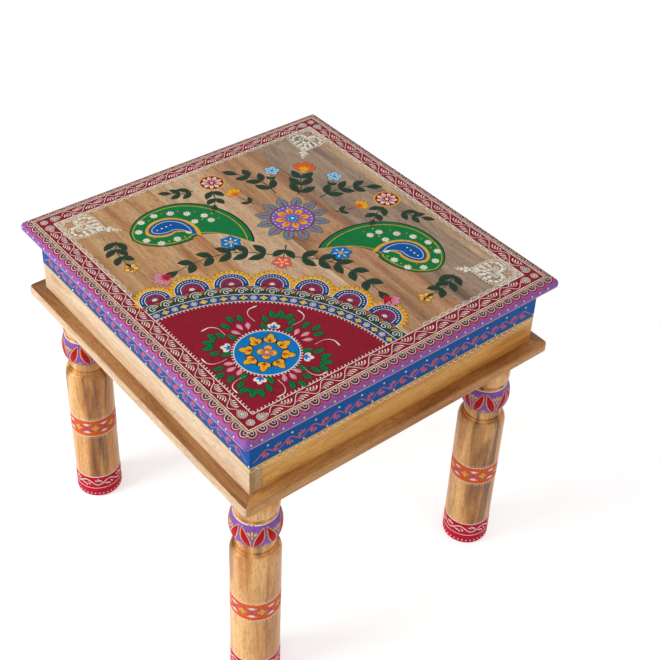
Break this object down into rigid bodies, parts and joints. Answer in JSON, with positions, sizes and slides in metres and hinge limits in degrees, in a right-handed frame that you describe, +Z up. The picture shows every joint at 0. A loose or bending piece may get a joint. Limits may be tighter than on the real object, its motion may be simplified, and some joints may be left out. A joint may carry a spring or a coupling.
{
  "type": "low table",
  "caption": "Square low wooden table with painted boarded top, shallow box frame, stepped base moulding and turned bolted legs, for serving or as a seat-height side table.",
  "frame": {"origin": "on the floor, under the middle of the top", "axes": "+Z up; X across the top boards; Y along the top boards; the corner nearest the camera is -X, -Y"},
  "size_m": [0.4, 0.414, 0.39],
  "materials": {
    "wood_top": "sealed mango wood, satin, with hand-painted enamel ornament",
    "wood_box": "sealed mango wood, satin, upper band painted blue",
    "wood_moulding": "sealed mango wood, satin",
    "wood_legs": "sealed turned mango wood, satin, with painted bands",
    "wood_inner": "bare sawn mango wood",
    "steel": "zinc plated"
  },
  "bodies": {
    "root": {"top_board_1": "wood_top", "top_board_2": "wood_top", "top_board_3": "wood_top", "top_board_4": "wood_top", "top_board_5": "wood_top", "top_board_6": "wood_top", "batten_front": "wood_inner", "batten_screw_front_1": "steel", "batten_screw_front_2": "steel", "batten_screw_front_3": "steel", "batten_screw_front_4": "steel", "batten_screw_front_5": "steel", "batten_back": "wood_inner", "batten_screw_back_1": "steel", "batten_screw_back_2": "steel", "batten_screw_back_3": "steel", "batten_screw_back_4": "steel", "batten_screw_back_5": "steel", "apron_front_right": "wood_box", "base_moulding_front_right": "wood_moulding", "moulding_screw_front_right_1": "steel", "moulding_screw_front_right_2": "steel", "apron_back_right": "wood_box", "base_moulding_back_right": "wood_moulding", "moulding_screw_back_right_1": "steel", "moulding_screw_back_right_2": "steel", "apron_back_left": "wood_box", "base_moulding_back_left": "wood_moulding", "moulding_screw_back_left_1": "steel", "moulding_screw_back_left_2": "steel", "apron_front_left": "wood_box", "base_moulding_front_left": "wood_moulding", "moulding_screw_front_left_1": "steel", "moulding_screw_front_left_2": "steel", "leg_front": "wood_legs", "corner_block_front": "wood_inner", "hanger_bolt_front": "steel", "washer_front": "steel", "nut_front": "steel", "leg_right": "wood_legs", "corner_block_right": "wood_inner", "hanger_bolt_right": "steel", "washer_right": "steel", "nut_right": "steel", "leg_back": "wood_legs", "corner_block_back": "wood_inner", "hanger_bolt_back": "steel", "washer_back": "steel", "nut_back": "steel", "leg_left": "wood_legs", "corner_block_left": "wood_inner", "hanger_bolt_left": "steel", "washer_left": "steel", "nut_left": "steel"}
  },
  "joints": []
}
